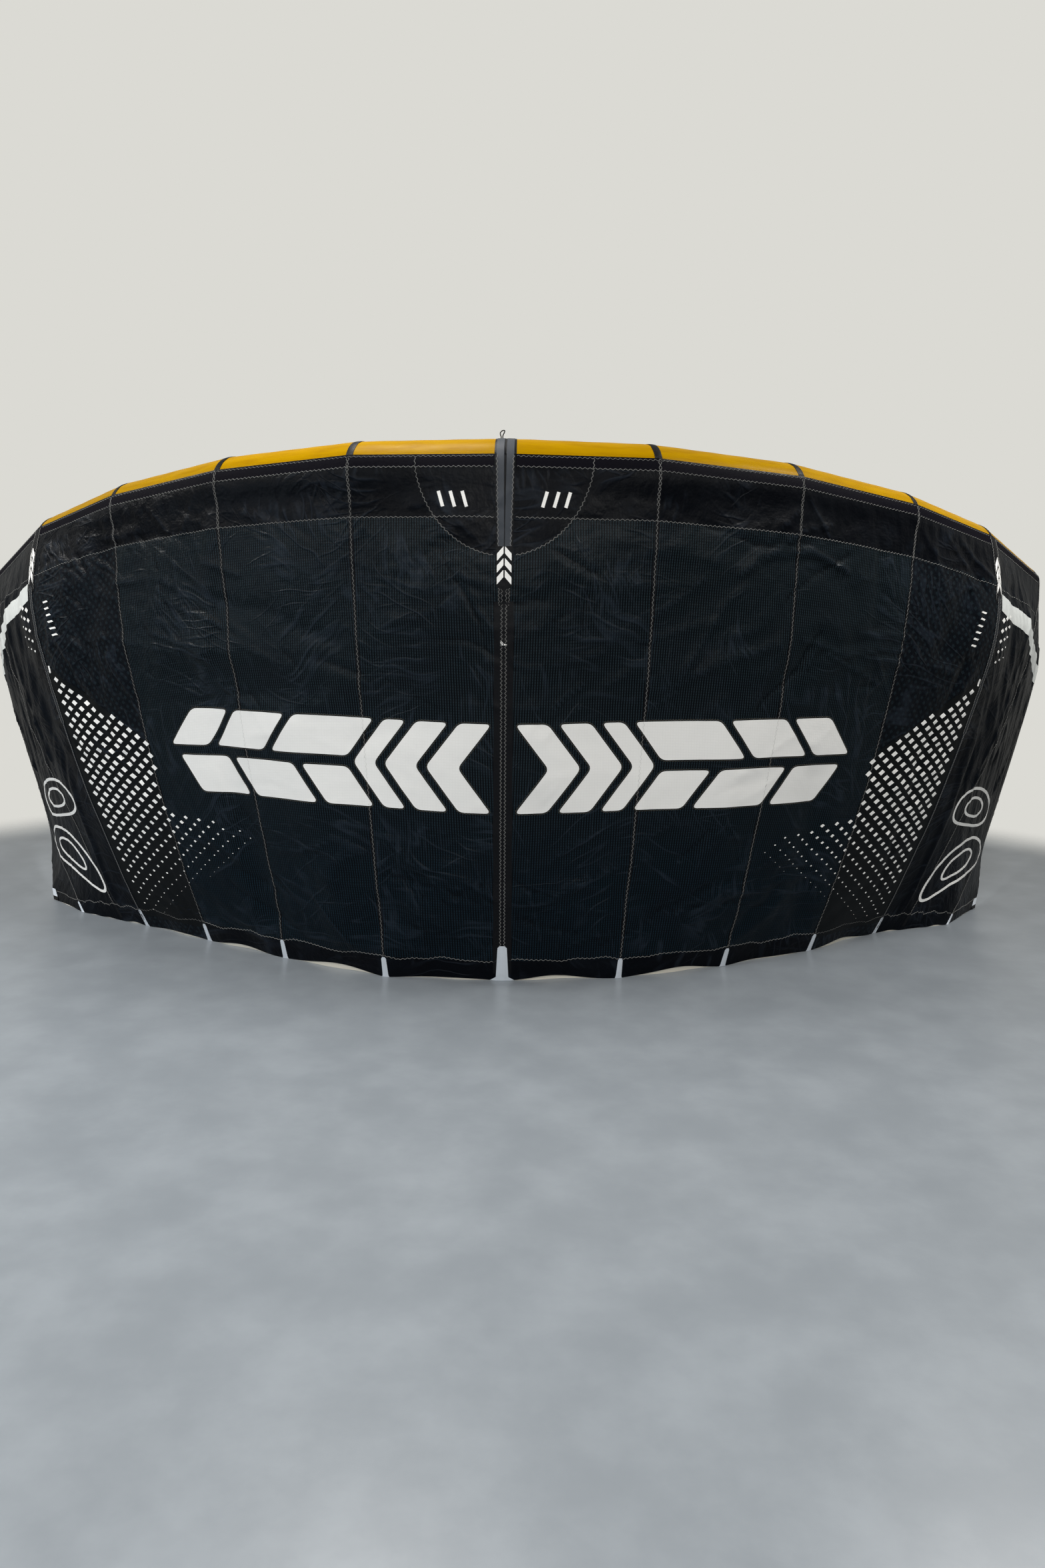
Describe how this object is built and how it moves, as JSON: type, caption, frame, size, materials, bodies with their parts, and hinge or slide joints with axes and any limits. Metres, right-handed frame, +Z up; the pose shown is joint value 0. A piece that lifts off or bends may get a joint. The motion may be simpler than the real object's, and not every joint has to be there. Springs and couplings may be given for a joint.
{
  "type": "inflatable kitesurfing kite",
  "caption": "Inflatable arched kite for kitesurfing, standing on its trailing edge, with a yellow leading-edge tube, dark canopy, struts and white tabs.",
  "frame": {"origin": "foot of the wide centre tab on the floor, in the middle of the trailing edge", "axes": "+X along the span, +Z up, the outer skin faces -Y and the arch opens towards +Y"},
  "size_m": [4.153, 1.8593, 1.5812],
  "materials": {
    "tube_yellow": "satin woven polyester with a soft sheen",
    "joint_black": "matt black webbing and tape",
    "canopy_black": "ripstop canopy cloth with a fine grid, soft gloss and creases",
    "strut_cloth": "matt woven polyester",
    "tab_white": "white webbing, slightly used",
    "strap_grey": "dark grey woven strap",
    "cord_black": "braided cord"
  },
  "bodies": {
    "root": {"le_tube_l1": "tube_yellow", "le_tube_l2": "tube_yellow", "le_tube_l3": "tube_yellow", "le_tube_l4": "tube_yellow", "le_tube_l5": "tube_yellow", "le_tube_l6": "tube_yellow", "le_tube_l7": "tube_yellow", "canopy_l1": "canopy_black", "canopy_l2": "canopy_black", "canopy_l3": "canopy_black", "canopy_l4": "canopy_black", "canopy_l5": "canopy_black", "canopy_l6": "canopy_black", "canopy_l7": "canopy_black", "joint_band_l1": "joint_black", "joint_band_l2": "joint_black", "joint_band_l3": "joint_black", "joint_band_l4": "joint_black", "joint_band_l5": "joint_black", "tab_l1": "tab_white", "tab_l2": "tab_white", "tab_l3": "tab_white", "tab_l4": "tab_white", "tab_l5": "tab_white", "corner_tab_l": "tab_white", "le_tube_r1": "tube_yellow", "le_tube_r2": "tube_yellow", "le_tube_r3": "tube_yellow", "le_tube_r4": "tube_yellow", "le_tube_r5": "tube_yellow", "le_tube_r6": "tube_yellow", "le_tube_r7": "tube_yellow", "canopy_r1": "canopy_black", "canopy_r2": "canopy_black", "canopy_r3": "canopy_black", "canopy_r4": "canopy_black", "canopy_r5": "canopy_black", "canopy_r6": "canopy_black", "canopy_r7": "canopy_black", "joint_band_r1": "joint_black", "joint_band_r2": "joint_black", "joint_band_r3": "joint_black", "joint_band_r4": "joint_black", "joint_band_r5": "joint_black", "tab_r1": "tab_white", "tab_r2": "tab_white", "tab_r3": "tab_white", "tab_r4": "tab_white", "tab_r5": "tab_white", "corner_tab_r": "tab_white", "joint_band_centre": "joint_black", "strut_centre": "strut_cloth", "strut_inner_l": "strut_cloth", "strut_inner_r": "strut_cloth", "strut_outer_l": "strut_cloth", "strut_outer_r": "strut_cloth", "tab_centre": "tab_white", "centre_strap": "strap_grey", "cord_loop": "cord_black"}
  },
  "joints": []
}
